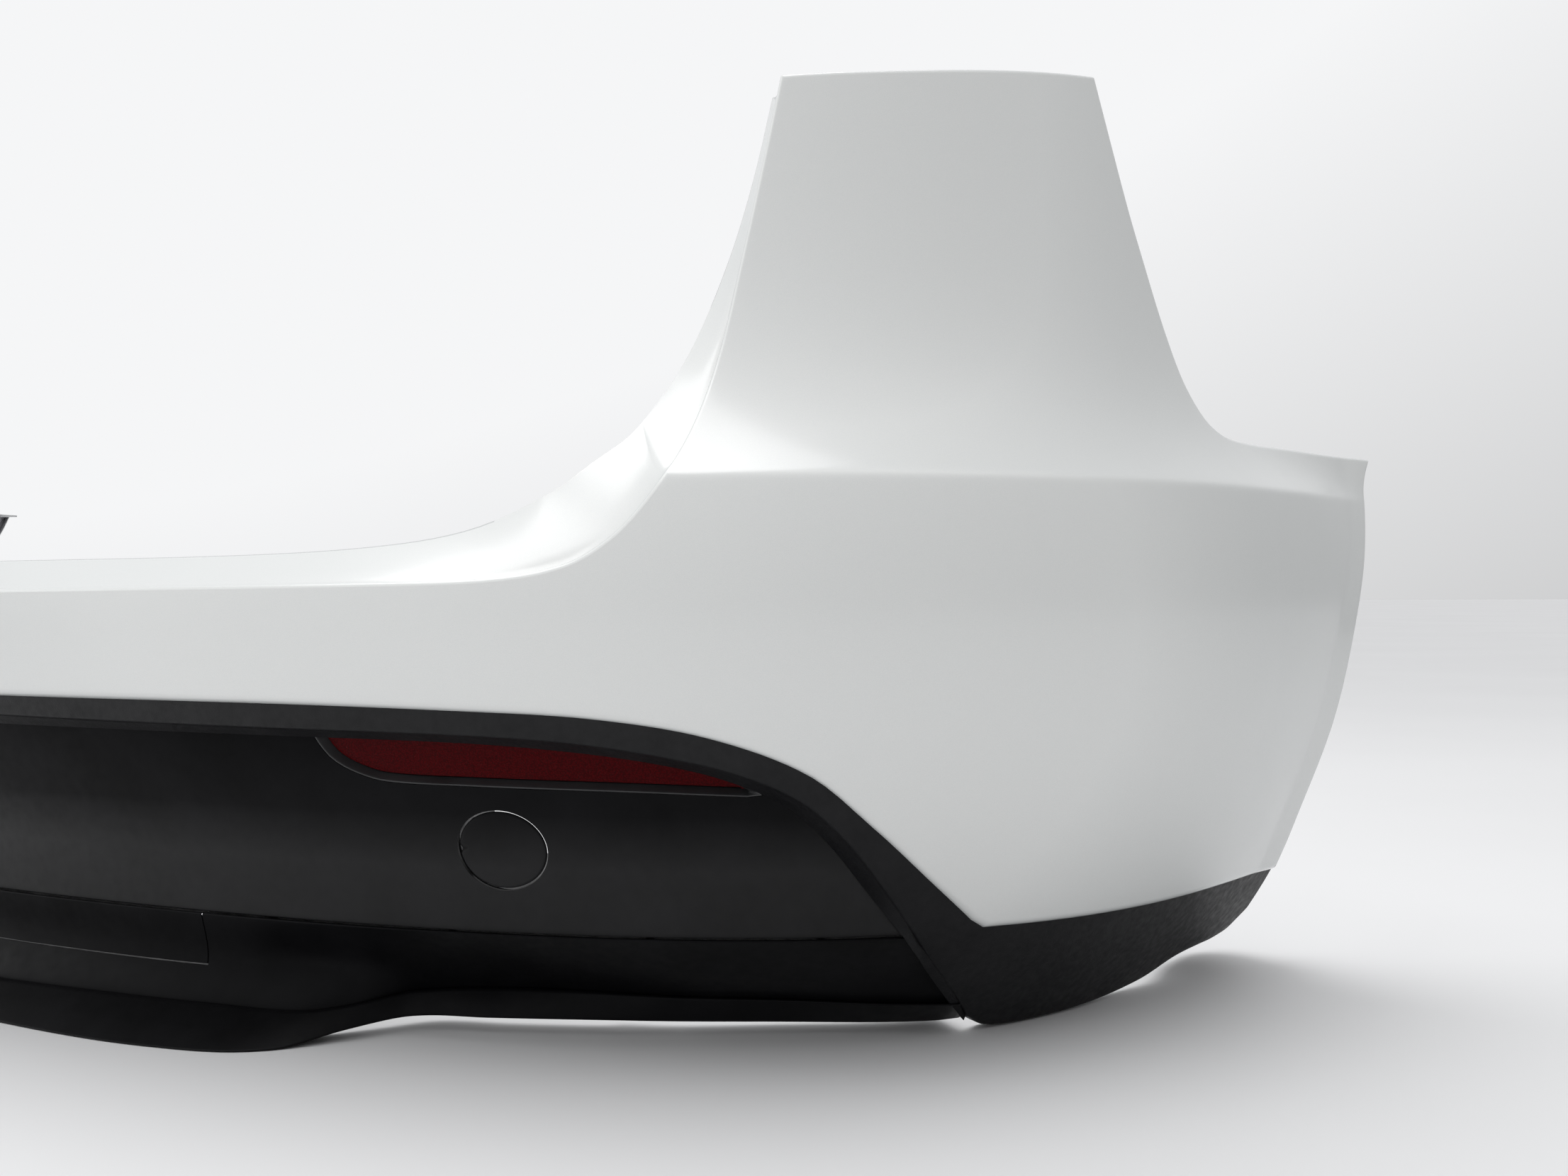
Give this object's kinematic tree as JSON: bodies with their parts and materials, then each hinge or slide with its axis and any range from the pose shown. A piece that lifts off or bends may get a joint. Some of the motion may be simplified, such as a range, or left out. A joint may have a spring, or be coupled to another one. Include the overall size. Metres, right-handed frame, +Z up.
{
  "type": "bumper cover",
  "caption": "Painted rear bumper cover for a mid-size crossover, with a black lower surround, recessed valance, reflectors, a tow-eye cover, a hitch cover and a stepped bottom lip.",
  "frame": {"origin": "middle of the bounding box, on the floor the cover stands on", "axes": "+X to the car's right, -Y to the rear (the outer face), +Z up"},
  "size_m": [1.914, 0.7398, 0.731],
  "materials": {
    "pearl_paint": "gloss pearl white with clear coat",
    "grained_black": "fine grained satin",
    "valance_black": "satin, smoother than the frame",
    "reflector_red": "clear red with prismatic back",
    "housing_black": "matte",
    "coated_steel": "dull zinc coat",
    "screw_steel": "zinc plated",
    "nylon": "smooth satin"
  },
  "bodies": {
    "cover": {"bumper_skin": "pearl_paint", "lower_surround": "grained_black", "valance_panel": "valance_black", "lower_valance": "valance_black", "diffuser_lip": "valance_black", "tow_eye_sleeve": "housing_black", "centre_support": "housing_black", "push_pins": "nylon", "lip_screws": "screw_steel", "quarter_screws": "screw_steel", "speed_nuts": "coated_steel", "reflector_lens_left": "reflector_red", "reflector_housing_left": "housing_black", "lamp_bracket_left": "coated_steel", "quarter_bracket_left": "coated_steel", "lip_brace_left": "coated_steel", "corner_bracket_left": "coated_steel", "reflector_lens_right": "reflector_red", "reflector_housing_right": "housing_black", "lamp_bracket_right": "coated_steel", "quarter_bracket_right": "coated_steel", "lip_brace_right": "coated_steel", "corner_bracket_right": "coated_steel"},
    "tow_cover": {"tow_eye_cover": "valance_black"},
    "hitch_panel": {"hitch_cover": "valance_black", "hitch_cover_clips": "nylon"}
  },
  "joints": [
    {"name": "tow_cover_turn", "type": "hinge", "parent": "cover", "child": "tow_cover", "pos_m": [0.49147, -0.25683, 0.15], "axis": [0.0655, -0.2512, 0.9657], "range_deg": [0, 100]},
    {"name": "hitch_cover_pull", "type": "slide", "parent": "cover", "child": "hitch_panel", "axis": [0, -1, 0], "range_m": [0, 0.08]}
  ]
}
